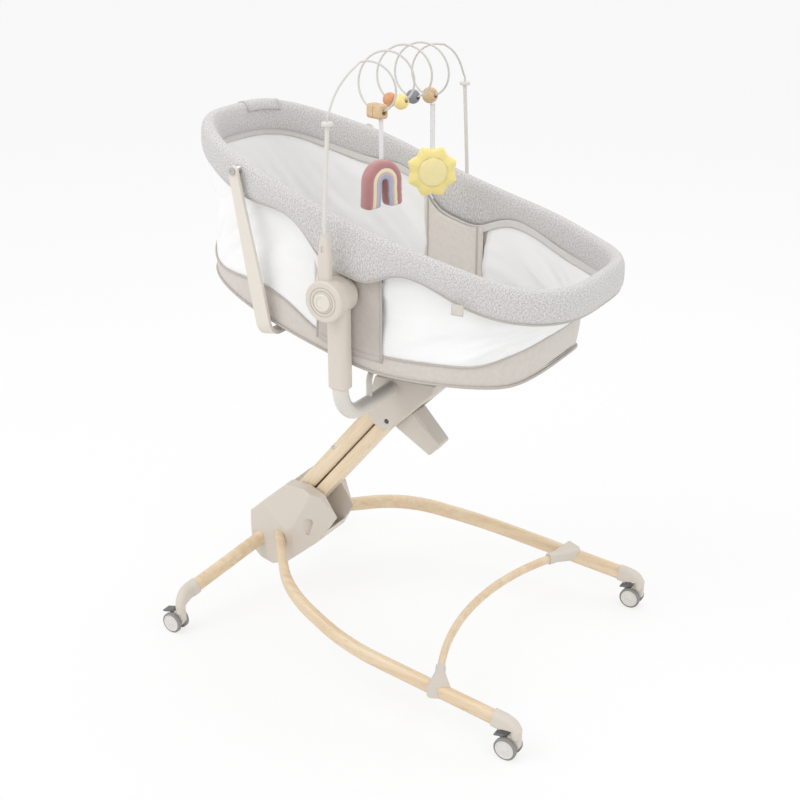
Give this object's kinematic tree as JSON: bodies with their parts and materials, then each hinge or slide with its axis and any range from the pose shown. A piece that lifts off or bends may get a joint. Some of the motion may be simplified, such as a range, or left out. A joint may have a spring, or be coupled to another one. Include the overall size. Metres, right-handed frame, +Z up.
{
  "type": "bedside bassinet",
  "caption": "Padded baby bassinet on a castored bentwood stand with a tilting column, a yoke with side joints, a carrying bow and a toy arch.",
  "frame": {"origin": "on the floor under the middle of the whole object", "axes": "+X towards the foot end, +Y towards the far long side, +Z up"},
  "size_m": [0.864, 0.653, 1.2323],
  "materials": {
    "beech": "satin varnish",
    "pale_beech": "satin varnish",
    "natural_wood": "matt",
    "greige_plastic": "fine matt",
    "pale_plastic": "fine matt",
    "dark_plastic": "matt",
    "wheel_tyre": "matt",
    "painted_tube": "satin",
    "pin_steel": "brushed",
    "melange_fabric": "melange weave",
    "taupe_fabric": "plain weave",
    "white_mesh": "mesh",
    "white_cotton": "soft",
    "arch_rods": "satin",
    "coated_wire": "satin",
    "orange_paint": "satin",
    "yellow_paint": "satin",
    "grey_paint": "satin",
    "rose_plush": "plush",
    "yellow_plush": "plush"
  },
  "bodies": {
    "stand": {"long_leg_near": "beech", "long_leg_far": "beech", "rear_legs": "beech", "front_cap_near": "greige_plastic", "front_cap_far": "greige_plastic", "rear_cap_near": "greige_plastic", "rear_cap_far": "greige_plastic", "cross_bow": "beech", "cross_sockets": "greige_plastic", "hub_cheek_near": "greige_plastic", "hub_cheek_far": "greige_plastic", "hub_core": "pale_plastic", "lower_pivot_pins": "pin_steel"},
    "front_bar": {"front_column_bar": "pale_beech"},
    "rear_bar": {"rear_column_bar": "pale_beech"},
    "head": {"column_bracket": "greige_plastic", "upper_pivot_pins": "pin_steel", "yoke_tube": "painted_tube", "joint_housing_near": "greige_plastic", "joint_housing_far": "greige_plastic", "arch_socket_near": "greige_plastic", "arch_socket_far": "greige_plastic", "tray_rest": "painted_tube"},
    "lever": {"release_lever": "greige_plastic"},
    "button_near": {"joint_button_near": "pale_plastic"},
    "button_far": {"joint_button_far": "pale_plastic"},
    "tub": {"rim_pad": "melange_fabric", "mesh_wall_head": "white_mesh", "mesh_wall_foot": "white_mesh", "skirt_band": "taupe_fabric", "base_pan": "dark_plastic", "mattress": "white_cotton", "tub_uprights": "painted_tube", "tub_rails": "dark_plastic", "bow_pivots": "pin_steel"},
    "bow": {"carrying_bow": "pale_plastic"},
    "arch": {"arch_rod_near": "arch_rods", "arch_rod_far": "arch_rods", "arch_wire": "coated_wire"},
    "orange_ball": {"orange_ball": "orange_paint"},
    "yellow_ball": {"yellow_ball": "yellow_paint"},
    "grey_ball": {"grey_ball": "grey_paint"},
    "wood_block": {"wood_block": "natural_wood"},
    "wood_bead": {"wood_bead": "natural_wood"},
    "rainbow_toy": {"rainbow_tape": "white_cotton", "rainbow": "rose_plush"},
    "sun_toy": {"sun_tape": "white_cotton", "sun": "yellow_plush"},
    "castor_front_near": {"castor_body_front_near": "greige_plastic"},
    "wheels_front_near": {"castor_wheels_front_near": "wheel_tyre"},
    "pedal_front_near": {"castor_pedal_front_near": "dark_plastic"},
    "castor_front_far": {"castor_body_front_far": "greige_plastic"},
    "wheels_front_far": {"castor_wheels_front_far": "wheel_tyre"},
    "pedal_front_far": {"castor_pedal_front_far": "dark_plastic"},
    "castor_rear_near": {"castor_body_rear_near": "greige_plastic"},
    "wheels_rear_near": {"castor_wheels_rear_near": "wheel_tyre"},
    "pedal_rear_near": {"castor_pedal_rear_near": "dark_plastic"},
    "castor_rear_far": {"castor_body_rear_far": "greige_plastic"},
    "wheels_rear_far": {"castor_wheels_rear_far": "wheel_tyre"},
    "pedal_rear_far": {"castor_pedal_rear_far": "dark_plastic"}
  },
  "joints": [
    {"name": "castor_swivel_front_near", "type": "hinge", "parent": "stand", "child": "castor_front_near", "pos_m": [0.421, -0.309, 0.05], "axis": [0, 0, 1], "continuous": true},
    {"name": "wheel_spin_front_near", "type": "hinge", "parent": "castor_front_near", "child": "wheels_front_near", "pos_m": [0.405, -0.309, 0.023], "axis": [0, 1, 0], "continuous": true},
    {"name": "brake_front_near", "type": "hinge", "parent": "castor_front_near", "child": "pedal_front_near", "pos_m": [0.401, -0.309, 0.042], "axis": [0, 1, 0], "range_deg": [-10, 0]},
    {"name": "castor_swivel_front_far", "type": "hinge", "parent": "stand", "child": "castor_front_far", "pos_m": [0.421, 0.309, 0.05], "axis": [0, 0, 1], "continuous": true},
    {"name": "wheel_spin_front_far", "type": "hinge", "parent": "castor_front_far", "child": "wheels_front_far", "pos_m": [0.405, 0.309, 0.023], "axis": [0, 1, 0], "continuous": true},
    {"name": "brake_front_far", "type": "hinge", "parent": "castor_front_far", "child": "pedal_front_far", "pos_m": [0.401, 0.309, 0.042], "axis": [0, 1, 0], "range_deg": [-10, 0]},
    {"name": "castor_swivel_rear_near", "type": "hinge", "parent": "stand", "child": "castor_rear_near", "pos_m": [-0.389, -0.293, 0.05], "axis": [0, 0, 1], "continuous": true},
    {"name": "wheel_spin_rear_near", "type": "hinge", "parent": "castor_rear_near", "child": "wheels_rear_near", "pos_m": [-0.405, -0.293, 0.023], "axis": [0, 1, 0], "continuous": true},
    {"name": "brake_rear_near", "type": "hinge", "parent": "castor_rear_near", "child": "pedal_rear_near", "pos_m": [-0.409, -0.293, 0.042], "axis": [0, 1, 0], "range_deg": [-10, 0]},
    {"name": "castor_swivel_rear_far", "type": "hinge", "parent": "stand", "child": "castor_rear_far", "pos_m": [-0.389, 0.293, 0.05], "axis": [0, 0, 1], "continuous": true},
    {"name": "wheel_spin_rear_far", "type": "hinge", "parent": "castor_rear_far", "child": "wheels_rear_far", "pos_m": [-0.405, 0.293, 0.023], "axis": [0, 1, 0], "continuous": true},
    {"name": "brake_rear_far", "type": "hinge", "parent": "castor_rear_far", "child": "pedal_rear_far", "pos_m": [-0.409, 0.293, 0.042], "axis": [0, 1, 0], "range_deg": [-10, 0]},
    {"name": "column_tilt", "type": "hinge", "parent": "stand", "child": "front_bar", "pos_m": [-0.26573, 0, 0.19363], "axis": [0, 1, 0], "range_deg": [-20, 20]},
    {"name": "rear_bar_tilt", "type": "hinge", "parent": "stand", "child": "rear_bar", "pos_m": [-0.2912, 0, 0.21477], "axis": [0, 1, 0], "range_deg": [-20, 20]},
    {"name": "head_level", "type": "hinge", "parent": "front_bar", "child": "head", "pos_m": [-0.023, 0, 0.486], "axis": [0, 1, 0], "range_deg": [-20, 20]},
    {"name": "lever_squeeze", "type": "hinge", "parent": "head", "child": "lever", "pos_m": [0.005, 0, 0.498], "axis": [0, 1, 0], "range_deg": [-12, 0], "stiffness_Nm_per_rad": 1, "springref_deg": 11.46},
    {"name": "tub_recline", "type": "hinge", "parent": "head", "child": "tub", "pos_m": [-0.007, 0, 0.812], "axis": [0, 1, 0], "range_deg": [-17, 0]},
    {"name": "button_press_near", "type": "slide", "parent": "head", "child": "button_near", "axis": [0, 1, 0], "range_m": [0, 0.004], "stiffness_N_per_m": 800, "springref_m": -0.002},
    {"name": "button_press_far", "type": "slide", "parent": "head", "child": "button_far", "axis": [0, -1, 0], "range_m": [0, 0.004], "stiffness_N_per_m": 800, "springref_m": -0.002},
    {"name": "bow_swing", "type": "hinge", "parent": "tub", "child": "bow", "pos_m": [-0.232, 0, 1.015], "axis": [0, 1, 0], "range_deg": [0, 70]},
    {"name": "arch_lift", "type": "slide", "parent": "head", "child": "arch", "axis": [0, 0, 1], "range_m": [0, 0.06]},
    {"name": "orange_ball_spin", "type": "hinge", "parent": "arch", "child": "orange_ball", "pos_m": [-0.01896, -0.0293, 1.13302], "axis": [-0.9364, 0.2033, 0.2861], "continuous": true},
    {"name": "yellow_ball_spin", "type": "hinge", "parent": "arch", "child": "yellow_ball", "pos_m": [0.00896, -0.0352, 1.1327], "axis": [-0.942, 0.2045, -0.2663], "continuous": true},
    {"name": "grey_ball_spin", "type": "hinge", "parent": "arch", "child": "grey_ball", "pos_m": [-0.005, 0.03225, 1.13085], "axis": [-0.9789, 0.2038, -0.0107], "continuous": true},
    {"name": "wood_block_swing", "type": "hinge", "parent": "arch", "child": "wood_block", "pos_m": [-0.005, -0.09675, 1.12405], "axis": [-0.9785, 0.2037, 0.0322], "range_deg": [-20, 20]},
    {"name": "wood_bead_swing", "type": "hinge", "parent": "arch", "child": "wood_bead", "pos_m": [-0.005, 0.09675, 1.12405], "axis": [-0.9785, 0.2037, -0.0322], "range_deg": [-20, 20]},
    {"name": "rainbow_swing", "type": "hinge", "parent": "wood_block", "child": "rainbow_toy", "pos_m": [0.001, -0.093, 1.10915], "axis": [0.3584, 0.9336, 0], "range_deg": [-25, 25]},
    {"name": "sun_swing", "type": "hinge", "parent": "wood_bead", "child": "sun_toy", "pos_m": [-0.001, 0.101, 1.10655], "axis": [0.788, 0.6157, 0], "range_deg": [-25, 25]}
  ],
  "couplings": [
    {"joint": "rear_bar_tilt", "follows": "column_tilt", "ratio": 1},
    {"joint": "head_level", "follows": "column_tilt", "ratio": -1}
  ]
}
